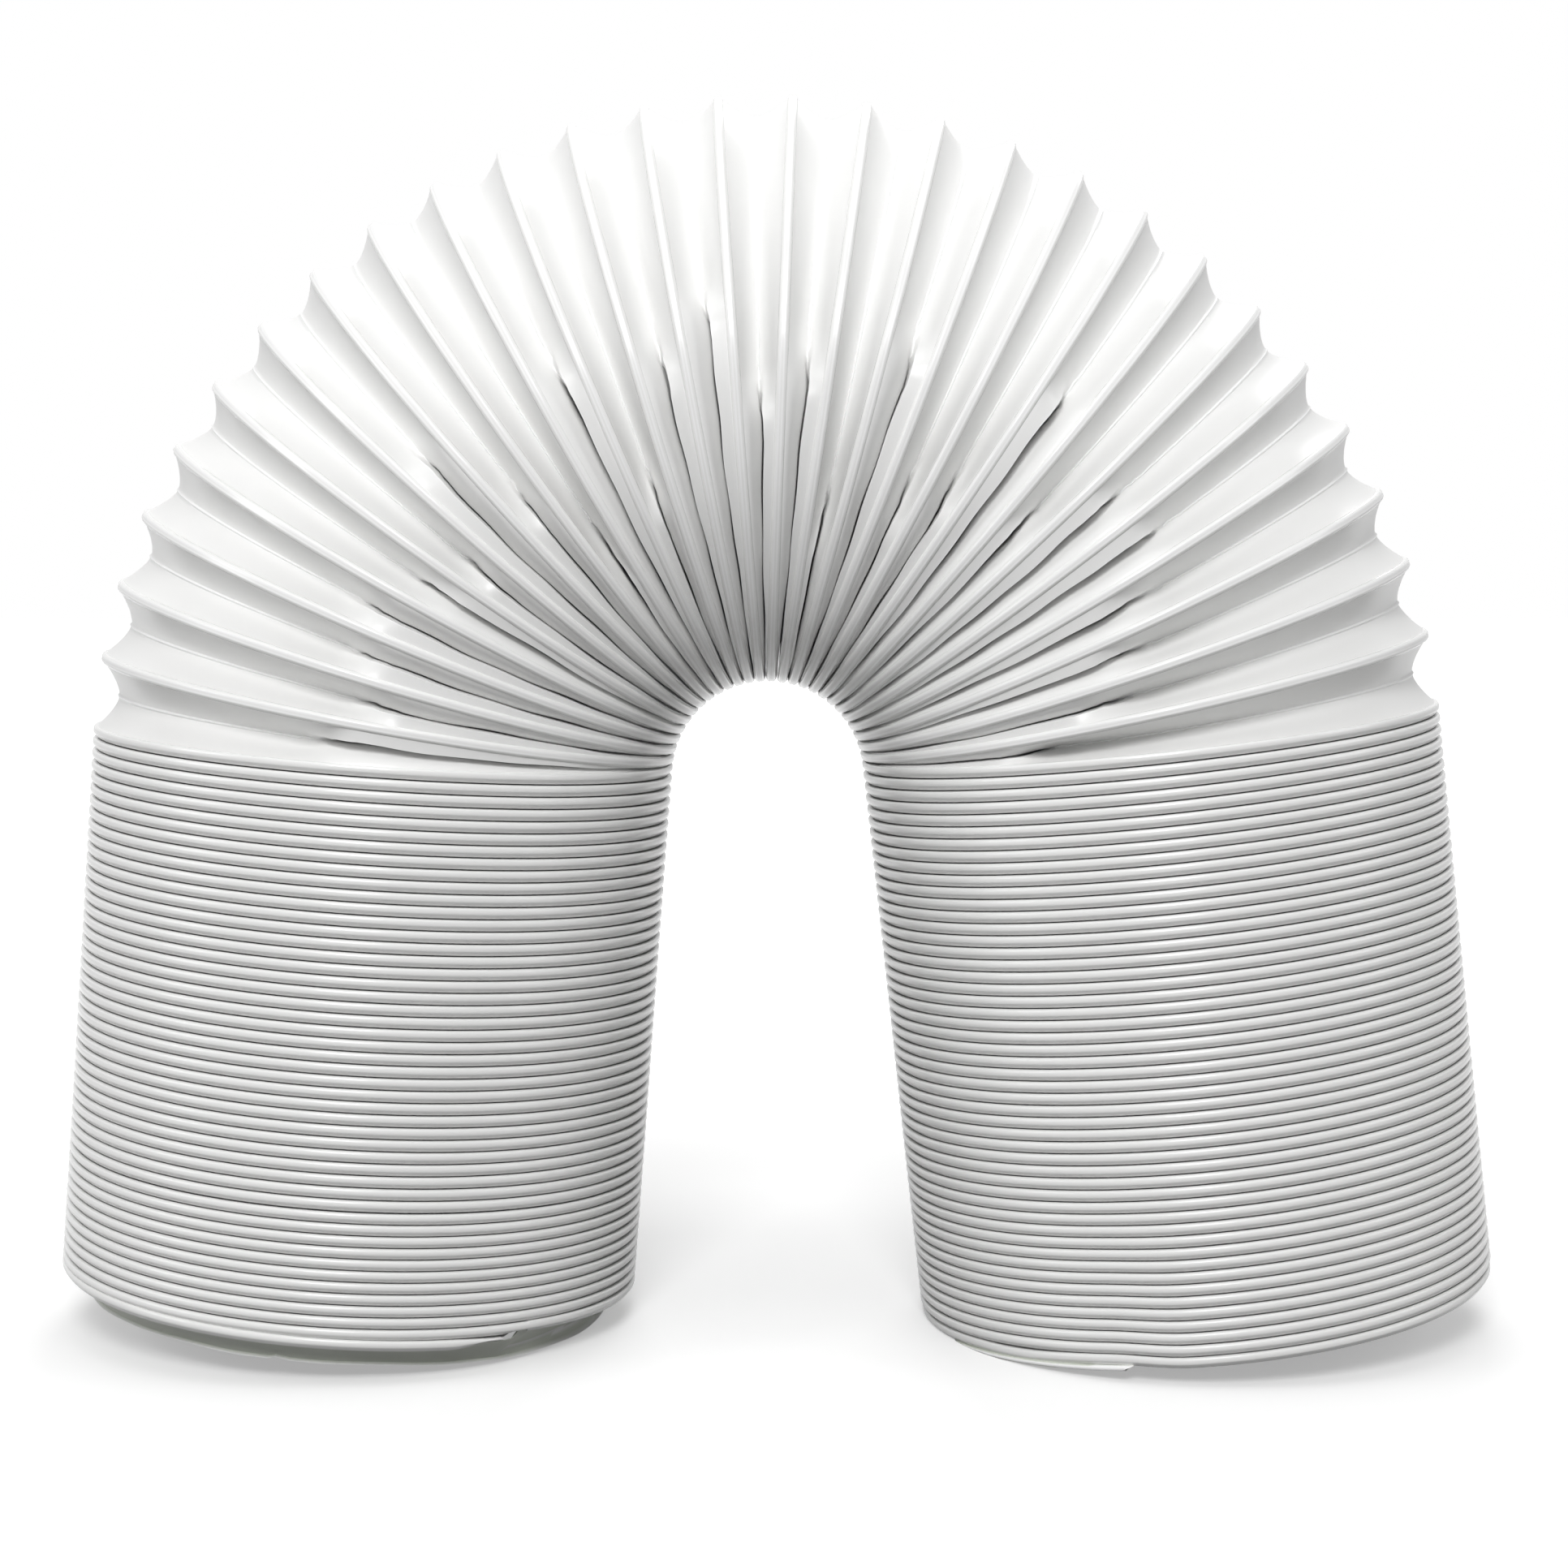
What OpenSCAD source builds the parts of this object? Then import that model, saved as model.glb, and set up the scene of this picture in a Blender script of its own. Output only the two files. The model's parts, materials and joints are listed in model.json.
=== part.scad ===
// Flexible exhaust air duct, stood up as an arch on its two open ends.
// One plastic strip is wound into a bellows: a stiff bead on every turn and a thin web with a fold line between turns.
// The legs are pushed shut and the arch fans open, so its folds are wide outside and shut inside.
// Lengths in millimetres. Z is up, X runs from the left foot to the right foot, Y runs away from the viewer.
// The origin is on the floor, under the middle of the duct.

/* [Duct] */
// Outside diameter over the beads
duct_d = 150; // [110:1:200]
// Pitch of the beads where the bellows is shut
closed_pitch = 3; // [2.6:0.1:4]
// Gap between two beads where the bellows is shut
bead_gap = 0.3; // [0.2:0.05:0.5]
// Depth of a bead from its crest to its inner face
bead_depth = 1.7; // [1.4:0.1:2.4]
// Radius on the two corners of a bead's crest
bead_round = 0.8; // [0.5:0.05:0.9]
// Thickness of the web beside a bead
web_t = 0.6; // [0.4:0.05:0.8]
// Thickness of the web across its fold line
hinge_t = 0.9; // [0.6:0.05:1.2]
// Length of the flat land along a fold line's inner edge
hinge_land = 0.4; // [0.2:0.05:0.6]
// Clearance between a web that flexes and the bead that carries it
web_gap = 0.3; // [0.2:0.05:0.5]

/* [Arch] */
// Folds that stand open in the arch
arch_folds = 27; // [20:1:27]
// Angle through which the arch bends
arch_bend = 169.2; // [150:0.1:178]
// Least gap between neighbouring beads on the inside of the arch
inner_gap = 0.12; // [0.1:0.01:0.4]
// Depth of the widest folds, on the outside of the arch, below the web's edge
open_fold_depth = 4.3; // [3:0.1:7]
// Flats around each web of the arch
web_sides = 24; // [16:2:24]

/* [Legs] */
// Beads in the left leg
left_bead_count = 48; // [40:1:56]
// Beads in the right leg
right_bead_count = 49; // [40:1:56]
// Depth of the flat that the feet stand on
foot_flat = 0.5; // [0.3:0.1:1]

/* [Cut ends] */
// Width of the half web left below the last bead of the left foot
lip_w = 8.2; // [5:0.1:9]
// Slope of that half web, measured from the duct's axis
lip_slope = 53; // [45:1:60]
// Angle from the front of the left foot, towards the arch's inside, to the cut in its last bead
left_cut_at = 36; // [0:1:90]
// Angle left open by that cut
left_cut_angle = 6; // [3:1:12]
// Angle from the front of the right foot, towards the arch's inside, to the strip's cut end
right_cut_at = 16; // [0:1:45]
// Angle along which the strip's end shows below the last bead of the right foot
strip_end_angle = 130; // [100:1:160]
// Height of the strip's end
strip_end_h = 1.2; // [0.8:0.1:1.6]

/* [Hidden] */
$fn = 96;
crest_r = duct_d / 2;
root_r = crest_r - bead_depth;
bead_h = closed_pitch - bead_gap;
web_r = root_r - web_gap;
// A web starts this far from the middle plane of its bead
web_start = 0.1;
// A bead's root reaches this far inwards between its two webs
root_reach = 1;
arc_steps = 3;

fold_angle = arch_bend / arch_folds;
arch_r = crest_r - bead_round + (bead_h + inner_gap) / 2 / tan(fold_angle / 2);
outer_half_pitch = (arch_r + web_r) * sin(fold_angle / 2);
web_w = sqrt(pow(outer_half_pitch, 2) + pow(open_fold_depth, 2));
bore_r = web_r - sqrt(pow(web_w, 2) - pow(closed_pitch / 2, 2)) - hinge_t / 2;

leg_sections = 4;
leg_beads = [left_bead_count, right_bead_count];
lip_h = lip_w * cos(lip_slope);
lip_r = web_r - lip_w * sin(lip_slope);
strip_end_z = bead_h / 2 + bead_gap / 2;

// Both legs lean out by this much while the arch stands square to its middle
even_lean = (180 - arch_bend) / 2;
// Legs that lean out stand on the inner rims of their feet, and legs that lean in stand on the outer rims
rim_side = even_lean < 0 ? -1 : 1;
// How far that rim of each foot lies below the first bead plane of its leg
left_drop = (left_bead_count - 1) * closed_pitch + web_start + lip_h;
right_drop = (right_bead_count - 1) * closed_pitch
    + (even_lean < 0 ? bead_h / 2 : strip_end_z + strip_end_h);
// The rims seen from the arch's centre while it stands square: [x, z]
left_rim = [(rim_side * lip_r - arch_r) * cos(even_lean) - left_drop * sin(even_lean),
            (arch_r - rim_side * lip_r) * sin(even_lean) - left_drop * cos(even_lean)];
right_rim = [(arch_r - rim_side * crest_r) * cos(even_lean) + right_drop * sin(even_lean),
             (arch_r - rim_side * crest_r) * sin(even_lean) - right_drop * cos(even_lean)];
// The duct settles by this angle until both rims are on the floor
settle = atan((right_rim.y - left_rim.y) / (right_rim.x - left_rim.x));
left_lean = even_lean + settle;
right_lean = even_lean - settle;

land = bead_h - 2 * bead_round;
// How far the duct reaches sideways from the arch's centre, to the foot of a leg that leans out
function reach(lean, beads) = lean < 0 ? arch_r + crest_r
    : (arch_r + crest_r) * cos(lean) + ((beads - 1) * closed_pitch + land / 2) * sin(lean);
arch_x = (reach(left_lean, left_bead_count) - reach(right_lean, right_bead_count)) / 2;
arch_z = left_rim.x * sin(settle) - left_rim.y * cos(settle) - foot_flat;

LEFT = 0;
RIGHT = 1;
bead_color = "whitesmoke";
web_color = "gainsboro";
edge_color = "silver";

function two(n) = n < 10 ? str("0", n) : str(n);
HOOPS = [for (k = [1 : arch_folds - 1]) str("arch_hoop_", two(k))];
WEBS = [for (k = [1 : 2 : arch_folds]) str("arch_web_", two(k))];
SECTIONS = [for (side = ["left", "right"], s = [1 : leg_sections]) str(side, "_bellows_", s)];
LEG_FOLDS = [for (side = ["left", "right"], s = [1 : leg_sections - 1]) str(side, "_leg_fold_", s)];
ENDS = ["left_end_bead", "left_end_lip", "right_end_bead", "right_strip_end"];

// ---- Places ----

// Bead plane k of the arch: 0 tops the left leg and arch_folds tops the right leg; a half is a fold's middle.
// In a plane, +Z runs on along the duct and +X points at the arch's centre.
module at_plane(k)
    translate([arch_x, 0, arch_z]) rotate([0, left_lean + k * fold_angle, 0]) translate([-arch_r, 0, 0])
        children();

// Bead j of a leg, counted down from its top, with +Z towards the foot
module on_leg(side, j)
    at_plane(side == LEFT ? 0 : arch_folds) rotate([side == LEFT ? 180 : 0, 0, 0])
        translate([0, 0, j * closed_pitch]) children();

// What is left of a foot above the floor
module stood_on_floor()
    difference() {
        children();
        translate([-duct_d * 2, -duct_d, -duct_d]) cube([duct_d * 4, duct_d * 2, duct_d]);
    }

// First bead of section s of a leg
function section_start(side, s) = floor((s - 1) * leg_beads[side] / leg_sections);

// ---- Profiles, as [radius, height] ----

// Outer side of one bead, from its lower inner corner to its upper one
function bead_side(z) = concat(
    [[root_r, z - bead_h / 2]],
    [for (i = [0 : arc_steps]) let (a = -90 + 90 * i / arc_steps)
        [crest_r - bead_round + bead_round * cos(a), z - land / 2 + bead_round * sin(a)]],
    [for (i = [0 : arc_steps]) let (a = 90 * i / arc_steps)
        [crest_r - bead_round + bead_round * cos(a), z + land / 2 + bead_round * sin(a)]],
    [[root_r, z + bead_h / 2]]);

// Outer side of bead i of n: its bead between the edges of its webs. The last one may be left bare for an end bead.
function turn_side(i, n, bare) = let (z = i * closed_pitch) concat(
    i == 0 ? [[root_r, z]] : [[bore_r + hinge_t, z - closed_pitch / 2], [root_r, z - web_t]],
    bare ? [] : bead_side(z),
    i == n - 1 ? [[root_r, z]] : [[root_r, z + web_t]]);

// Inner side of bead i: the fold line's land above it, then its root
function turn_bore(i, n) = let (z = i * closed_pitch, fold = z + closed_pitch / 2) concat(
    i == n - 1 ? [] : [[bore_r, fold + hinge_land / 2], [bore_r, fold - hinge_land / 2]],
    [[root_r - root_reach, z]]);

// n turns of shut bellows
function bellows_profile(n, bare_end) = concat(
    [for (i = [0 : n - 1]) each turn_side(i, n, bare_end && i == n - 1)],
    [for (i = [n - 1 : -1 : 0]) each turn_bore(i, n)]);

// The two webs of one shut fold
leg_fold_profile = [
    [web_r, web_start], [web_r, web_start + web_t], [bore_r + hinge_t, closed_pitch / 2],
    [web_r, closed_pitch - web_start - web_t], [web_r, closed_pitch - web_start],
    [bore_r, closed_pitch / 2 + hinge_land / 2], [bore_r, closed_pitch / 2 - hinge_land / 2]];

// ---- Sub-parts ----

module bead(angle = 360)
    rotate_extrude(angle = angle) polygon(bead_side(0));

module arch_hoop(k)
    color(bead_color) at_plane(k) bead();

// A point of a web's middle plane frame, turned with its bead by angle a about the arch's centre
function turned(p, a) = [
    arch_r + (p.x - arch_r) * cos(a) + p.z * sin(a), p.y,
    (arch_r - p.x) * sin(a) + p.z * cos(a)];

// Cross-section of an open fold at angle f round the duct. Both webs keep their width, so a fold that stands
// wide outside the arch is shallow there, and it is deep where it is shut inside the arch.
function web_section(f) = let (
    d = [cos(f), sin(f)],
    half_pitch = (arch_r - web_r * cos(f)) * sin(fold_angle / 2),
    fold_r = web_r - sqrt(pow(web_w, 2) - pow(half_pitch, 2)))
    [
        turned([web_r * d.x, web_r * d.y, web_start], -fold_angle / 2),
        turned([web_r * d.x, web_r * d.y, web_start + web_t], -fold_angle / 2),
        [(fold_r + hinge_t / 2) * d.x, (fold_r + hinge_t / 2) * d.y, 0],
        turned([web_r * d.x, web_r * d.y, -web_start - web_t], fold_angle / 2),
        turned([web_r * d.x, web_r * d.y, -web_start], fold_angle / 2),
        [(fold_r - hinge_t / 2) * d.x, (fold_r - hinge_t / 2) * d.y, 0]
    ];

// The two webs of the fold between bead planes k - 1 and k
module arch_web(k) {
    corners = len(web_section(0));
    points = [for (i = [0 : web_sides - 1]) each web_section(360 * i / web_sides)];
    faces = [for (i = [0 : web_sides - 1], c = [0 : corners - 1])
        let (
            here = i * corners, next = (i + 1) % web_sides * corners, d = (c + 1) % corners)
        each [[here + c, next + c, next + d], [here + c, next + d, here + d]]];
    color(web_color) at_plane(k - 0.5) polyhedron(points, faces);
}

// Neighbouring webs share a node
module arch_web_pair(k) {
    arch_web(k);
    if (k < arch_folds) arch_web(k + 1);
}

module leg_bellows(side, s) {
    start = section_start(side, s);
    last = s == leg_sections;
    color(bead_color) stood_on_floor() on_leg(side, start) rotate_extrude()
        polygon(bellows_profile(section_start(side, s + 1) - start, last));
}

// The fold between sections s and s + 1 of a leg
module leg_fold(side, s)
    color(web_color) on_leg(side, section_start(side, s + 1) - 1) rotate_extrude() polygon(leg_fold_profile);

// Last bead of the left foot, with the cut through it
module left_end_bead()
    color(bead_color) stood_on_floor() on_leg(LEFT, left_bead_count - 1)
        rotate([0, 0, 90 - left_cut_at + left_cut_angle / 2]) bead(360 - left_cut_angle);

// Half web left on the left foot
module left_end_lip()
    color(edge_color) stood_on_floor() on_leg(LEFT, left_bead_count - 1) rotate_extrude()
        polygon([[web_r, web_start], [web_r, web_start + web_t],
            [lip_r + web_t / 2, web_start + lip_h], [lip_r, web_start + lip_h]]);

module right_end_bead()
    color(bead_color) stood_on_floor() on_leg(RIGHT, right_bead_count - 1) bead();

// End of the strip below the last bead of the right foot
module right_strip_end()
    color(edge_color) stood_on_floor() on_leg(RIGHT, right_bead_count - 1)
        rotate([0, 0, -90 + right_cut_at]) rotate_extrude(angle = strip_end_angle)
            translate([root_r, strip_end_z]) square([bead_depth, strip_end_h]);

for (k = [1 : arch_folds - 1])
    arch_hoop(k);
for (k = [1 : 2 : arch_folds])
    arch_web_pair(k);
for (s = [1 : leg_sections]) {
    leg_bellows(LEFT, s);
    leg_bellows(RIGHT, s);
}
for (s = [1 : leg_sections - 1]) {
    leg_fold(LEFT, s);
    leg_fold(RIGHT, s);
}
left_end_bead();
left_end_lip();
right_end_bead();
right_strip_end();
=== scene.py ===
import json
import math

import bpy
import numpy as np
from mathutils import Matrix, Vector

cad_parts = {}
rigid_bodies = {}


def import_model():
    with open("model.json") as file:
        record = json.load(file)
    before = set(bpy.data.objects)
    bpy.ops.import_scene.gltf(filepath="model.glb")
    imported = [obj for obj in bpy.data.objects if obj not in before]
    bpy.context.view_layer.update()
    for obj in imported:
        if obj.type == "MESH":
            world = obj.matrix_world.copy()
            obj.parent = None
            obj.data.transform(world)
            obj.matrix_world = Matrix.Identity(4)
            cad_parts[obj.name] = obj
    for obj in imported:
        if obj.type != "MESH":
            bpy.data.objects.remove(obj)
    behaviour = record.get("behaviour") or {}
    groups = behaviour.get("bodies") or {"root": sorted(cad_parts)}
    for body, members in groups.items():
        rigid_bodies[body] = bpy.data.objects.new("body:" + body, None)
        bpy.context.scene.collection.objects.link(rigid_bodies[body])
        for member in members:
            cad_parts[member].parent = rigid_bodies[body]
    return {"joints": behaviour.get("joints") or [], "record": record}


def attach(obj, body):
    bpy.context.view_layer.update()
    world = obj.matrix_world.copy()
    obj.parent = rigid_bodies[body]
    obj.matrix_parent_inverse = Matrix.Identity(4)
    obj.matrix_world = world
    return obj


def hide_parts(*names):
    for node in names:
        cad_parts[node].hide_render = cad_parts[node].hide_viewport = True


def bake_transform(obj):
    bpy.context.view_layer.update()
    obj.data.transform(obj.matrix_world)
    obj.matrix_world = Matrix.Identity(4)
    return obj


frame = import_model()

bl_info = {
    "name": "Flexible air duct",
    "version": (1, 0, 0),
    "blender": (4, 5, 0),
    "location": "3D View > Sidebar > Duct",
    "description": "Models a white plastic bellows duct that stands on its two open ends",
    "category": "Add Mesh",
}

MM = 0.001
# Points closer together than this are merged, and points this close to a plane lie on it
SAME_POINT = 0.01 * MM
ON_PLANE = 0.001 * MM
# Edges sharper than this stay sharp
SHARP_EDGE = math.radians(50)
JOINTS = {joint["name"]: joint for joint in frame["joints"]}
MOUNTS = {mount["name"]: mount for mount in frame["record"]["mounts"]}
FOLDS = sum(1 for name in JOINTS if name.startswith("arch_fold_"))
# Beads in each section of a leg, from the arch down, with the last bead, which is a piece of its own
SECTION_BEADS = {"left": (12, 12, 12, 12), "right": (12, 12, 12, 13)}


def fold_pivot(k):
    """Place of fold k's hinge, as (x, z) in millimetres."""
    x, _, z = JOINTS[f"arch_fold_{k:02d}"]["pos_m"]
    return np.array([x, z]) / MM


def arch_centre():
    """Centre of the circle on which the hinges of all folds lie."""
    a, b, c = fold_pivot(1), fold_pivot((FOLDS + 1) // 2), fold_pivot(FOLDS)
    return np.linalg.solve(2 * np.array([b - a, c - a]), np.array([b @ b - a @ a, c @ c - a @ a]))


def hinge_direction(k):
    """Angle of fold k's hinge about the arch's centre, up from the left."""
    x, z = fold_pivot(k) - CENTRE
    return math.atan2(z, -x)


def leg_distance():
    """Distance from the arch's centre to the axis of a leg."""
    mouth = MOUNTS["left_mouth"]
    x, z = np.array([mouth["pos_m"][0], mouth["pos_m"][2]]) / MM - CENTRE
    return abs(x * mouth["axis"][2] - z * mouth["axis"][0])


# In millimetres and radians
CENTRE = arch_centre()
FOLD_ANGLE = (hinge_direction(FOLDS) - hinge_direction(1)) / (FOLDS - 1)
LEFT_LEAN = hinge_direction(1) - FOLD_ANGLE / 2
ARCH_RADIUS = leg_distance()
CREST_RADIUS = MOUNTS["left_collar_seat"]["dims"]["r_mm"]
BORE_RADIUS = MOUNTS["left_mouth"]["dims"]["r_mm"]


def linear(hex_colour):
    """Linear colour of an sRGB hex value."""
    channels = [int(hex_colour[i:i + 2], 16) / 255 for i in (1, 3, 5)]
    return [c / 12.92 if c <= 0.04045 else ((c + 0.055) / 1.055) ** 2.4 for c in channels]


# ---- Sizes and colours ----


class DuctSizes(bpy.types.PropertyGroup):
    """Sizes of the duct's strip."""

    closed_pitch: bpy.props.FloatProperty(
        name="Closed pitch", description="Pitch of the beads where the bellows is shut",
        default=3 * MM, min=2.6 * MM, max=4 * MM, unit="LENGTH", precision=4)
    bead_gap: bpy.props.FloatProperty(
        name="Bead gap", description="Gap between two beads where the bellows is shut",
        default=0.3 * MM, min=0.2 * MM, max=0.5 * MM, unit="LENGTH", precision=4)
    bead_depth: bpy.props.FloatProperty(
        name="Bead depth", description="Depth of a bead from its crest to its inner face",
        default=1.7 * MM, min=1.4 * MM, max=2.4 * MM, unit="LENGTH", precision=4)
    crest_groove: bpy.props.FloatProperty(
        name="Crest groove", description="Depth of the groove between the two ridges of a bead",
        default=0.12 * MM, min=0, max=0.5 * MM, unit="LENGTH", precision=5)
    tube_depth: bpy.props.FloatProperty(
        name="Tube depth", description="How far a shut bead rounds in from its crest to its edge",
        default=1.25 * MM, min=0.5 * MM, max=1.6 * MM, unit="LENGTH", precision=5)
    film: bpy.props.FloatProperty(
        name="Film", description="Thickness of the webs",
        default=0.45 * MM, min=0.2 * MM, max=0.6 * MM, unit="LENGTH", precision=5)
    fold_ridge: bpy.props.FloatProperty(
        name="Fold ridge", description="Height of the fine ridge along a fold line",
        default=0.4 * MM, min=0, max=0.6 * MM, unit="LENGTH", precision=5)
    ripple: bpy.props.FloatProperty(
        name="Ripple", description="How far the film of a web wanders in and out",
        default=0.16 * MM, min=0, max=0.5 * MM, unit="LENGTH", precision=5)
    crumple: bpy.props.FloatProperty(
        name="Crumple", description="Height of the crumples where a fold is about to snap shut",
        default=0.45 * MM, min=0, max=1 * MM, unit="LENGTH", precision=5)
    slit: bpy.props.FloatProperty(
        name="Slit", description="Width of a fold that has snapped shut",
        default=0.5 * MM, min=0.2 * MM, max=1.5 * MM, unit="LENGTH", precision=5)
    sides: bpy.props.IntProperty(
        name="Sides", description="Flats round the arch's beads and webs",
        default=240, min=96, max=320)
    leg_sides: bpy.props.IntProperty(
        name="Leg sides", description="Flats round the legs",
        default=160, min=96, max=240)


class DuctColours(bpy.types.PropertyGroup):
    """Colours of the duct and of the ground it stands on."""

    bead: bpy.props.FloatVectorProperty(
        name="Bead", description="Colour of the beads", subtype="COLOR",
        default=linear("#F3F3F2"), min=0, max=1)
    web: bpy.props.FloatVectorProperty(
        name="Web", description="Colour of the film between two beads", subtype="COLOR",
        default=linear("#F2F2F1"), min=0, max=1)
    # Whiter colour: stress whitening along fold lines, and a painted highlight there and on edges, ridges and
    # creases
    whitening_and_painted_highlight: bpy.props.FloatVectorProperty(
        name="Whitened fold", description="Colour of the film where folding has whitened it",
        subtype="COLOR", default=linear("#FBFBFB"), min=0, max=1)
    cut_edge: bpy.props.FloatVectorProperty(
        name="Cut edge", description="Colour of the strip's cut ends", subtype="COLOR",
        default=linear("#D6DAD0"), min=0, max=1)
    ground: bpy.props.FloatVectorProperty(
        name="Ground", description="Colour of the ground", subtype="COLOR",
        default=linear("#D8D8D8"), min=0, max=1)
    ground_bounce: bpy.props.FloatVectorProperty(
        name="Ground bounce", description="Colour of the light that the ground throws back on the duct",
        subtype="COLOR", default=linear("#5E5E5E"), min=0, max=1)


def sizes():
    return bpy.context.scene.duct_sizes


def colours():
    return bpy.context.scene.duct_colours


def half_bead():
    """Half the height of a bead."""
    return (sizes().closed_pitch - sizes().bead_gap) / 2


def root_radius():
    """Radius of a bead's root, from which its webs run in."""
    return CREST_RADIUS * MM - sizes().bead_depth


# ---- Places, in metres ----


def arch_place(k):
    """Place of bead plane k: Z runs on along the duct and X points at the arch's centre."""
    centre = Vector((CENTRE[0] * MM, 0, CENTRE[1] * MM))
    return (Matrix.Translation(centre) @ Matrix.Rotation(LEFT_LEAN + k * FOLD_ANGLE, 4, "Y")
            @ Matrix.Translation((-ARCH_RADIUS * MM, 0, 0)))


def leg_place(side, bead):
    """Place of a leg's bead, counted from its top, with Z towards the foot."""
    top = arch_place(0) @ Matrix.Rotation(math.pi, 4, "X") if side == "left" else arch_place(FOLDS)
    return top @ Matrix.Translation((0, 0, bead * sizes().closed_pitch))


def first_bead(side, section):
    """Number of a section's first bead, counted from the top of its leg."""
    return sum(SECTION_BEADS[side][:section - 1])


def fold_bodies(name):
    """The two bodies that a joint joins."""
    return JOINTS[name]["parent"], JOINTS[name]["child"]


# ---- Modelling ----


def alone(piece):
    """Leaves edit mode, selects a piece alone and makes it the active one."""
    if piece.mode == "EDIT":
        bpy.ops.object.mode_set(mode="OBJECT")
    bpy.ops.object.select_all(action="DESELECT")
    piece.select_set(True)
    bpy.context.view_layer.objects.active = piece


def new_circle(name, sides, radius, height):
    """Adds a circle as a new object and stays in edit mode on it."""
    bpy.ops.object.select_all(action="DESELECT")
    bpy.ops.mesh.primitive_circle_add(vertices=sides, radius=radius, location=(0, 0, 0))
    piece = bpy.context.object
    piece.name = name
    bpy.ops.object.mode_set(mode="EDIT")
    bpy.ops.transform.translate(value=(0, 0, height))
    return piece


def more_circle(sides, radius, height):
    """Adds a circle to the mesh that is being edited, and selects it alone."""
    bpy.ops.mesh.select_all(action="DESELECT")
    bpy.ops.mesh.primitive_circle_add(vertices=sides, radius=radius, location=(0, 0, height))


def drawn_along(profile):
    """Extrudes the selected ring through the rest of the (radius, height) points of a profile."""
    for (radius, height), (next_radius, next_height) in zip(profile, profile[1:]):
        bpy.ops.mesh.extrude_edges_move(
            TRANSFORM_OT_translate={"value": (0, 0, next_height - height)})
        factor = next_radius / radius
        bpy.ops.transform.resize(value=(factor, factor, 1), center_override=(0, 0, 0))


def ring_piece(name, sides, profile):
    """A ring whose section is the closed profile, in edit mode."""
    piece = new_circle(name, sides, *profile[0])
    drawn_along(profile + profile[:1])
    bpy.ops.mesh.select_all(action="SELECT")
    bpy.ops.mesh.remove_doubles(threshold=SAME_POINT)
    bpy.ops.mesh.normals_make_consistent(inside=False)
    return piece


def edges_on(piece, test):
    """Selects the open edges whose two ends pass the test, in edit mode."""
    bpy.ops.mesh.select_all(action="DESELECT")
    bpy.ops.mesh.select_mode(type="EDGE")
    bpy.ops.mesh.select_non_manifold(extend=False)
    bpy.ops.object.mode_set(mode="OBJECT")
    mesh = piece.data
    for edge in mesh.edges:
        edge.select = edge.select and all(test(mesh.vertices[v].co) for v in edge.vertices)
    bpy.ops.object.mode_set(mode="EDIT")
    bpy.ops.mesh.select_mode(type="EDGE")


def opened(piece, start, end):
    """Takes out a ring's faces from start to end, in degrees, closes the cuts and leaves edit mode."""
    bpy.ops.mesh.select_mode(type="FACE")
    bpy.ops.mesh.select_all(action="DESELECT")
    bpy.ops.object.mode_set(mode="OBJECT")
    for face in piece.data.polygons:
        around = math.degrees(math.atan2(face.center.y, face.center.x))
        face.select = (around - start) % 360 < end - start
    bpy.ops.object.mode_set(mode="EDIT")
    bpy.ops.mesh.delete(type="FACE")
    bpy.ops.mesh.select_mode(type="EDGE")
    bpy.ops.mesh.select_non_manifold()
    bpy.ops.mesh.fill_holes(sides=0)
    bpy.ops.mesh.select_all(action="SELECT")
    bpy.ops.mesh.normals_make_consistent(inside=False)
    bpy.ops.object.mode_set(mode="OBJECT")


def applied(piece, kind, **settings):
    """Adds a modifier with its settings and applies it."""
    alone(piece)
    modifier = piece.modifiers.new(kind.title(), kind)
    for key, value in settings.items():
        setattr(modifier, key, value)
    bpy.ops.object.modifier_apply(modifier=modifier.name)


def smoothed(piece):
    """Leaves edit mode and smooths the faces, apart from the sharp edges."""
    alone(piece)
    bpy.ops.object.shade_smooth_by_angle(angle=SHARP_EDGE)


def copied(piece, name, place):
    """A copy of a piece with its own mesh, put in its place."""
    copy = piece.copy()
    copy.data = piece.data.copy()
    copy.name = copy.data.name = name
    copy.data.transform(place)
    bpy.context.scene.collection.objects.link(copy)
    return copy


def above_floor(piece):
    """Cuts a piece level at the floor."""
    alone(piece)
    bpy.ops.object.mode_set(mode="EDIT")
    bpy.ops.mesh.select_all(action="SELECT")
    bpy.ops.mesh.bisect(plane_co=(0, 0, 0), plane_no=(0, 0, 1), use_fill=True, clear_inner=True,
                        threshold=SAME_POINT)
    bpy.ops.object.mode_set(mode="OBJECT")


def finished(piece, material, node):
    """Gives a piece its material and says which CAD node it stands for."""
    piece.data.materials.clear()
    piece.data.materials.append(material)
    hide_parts(node)


def point_value(piece, name, values):
    """Writes one number per vertex to the mesh."""
    attribute = piece.data.attributes.new(name, "FLOAT", "POINT")
    attribute.data.foreach_set("value", np.asarray(values, np.float32))


def vertices_of(piece):
    """Places of a mesh's vertices, one row each."""
    co = np.empty(len(piece.data.vertices) * 3)
    piece.data.vertices.foreach_get("co", co)
    return co.reshape(-1, 3)


def degrees_round(co):
    """Angle of each vertex round its duct's axis."""
    return np.degrees(np.arctan2(co[:, 1], co[:, 0]))


def smoothstep(x):
    x = np.clip(x, 0, 1)
    return x * x * (3 - 2 * x)


def set_vertices(piece, co):
    piece.data.vertices.foreach_set("co", np.ascontiguousarray(co).ravel())
    piece.data.update()


# ---- Materials ----

# Sockets of a Mix node that mixes colours: its inputs, and its output
MIX_FACTOR, MIX_A, MIX_B, MIX_RESULT = 0, 6, 7, 2
# Width of the milky patches in the plastic, where its pigment isn't mixed evenly
PATCH_WIDTH = 30 * MM
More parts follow.
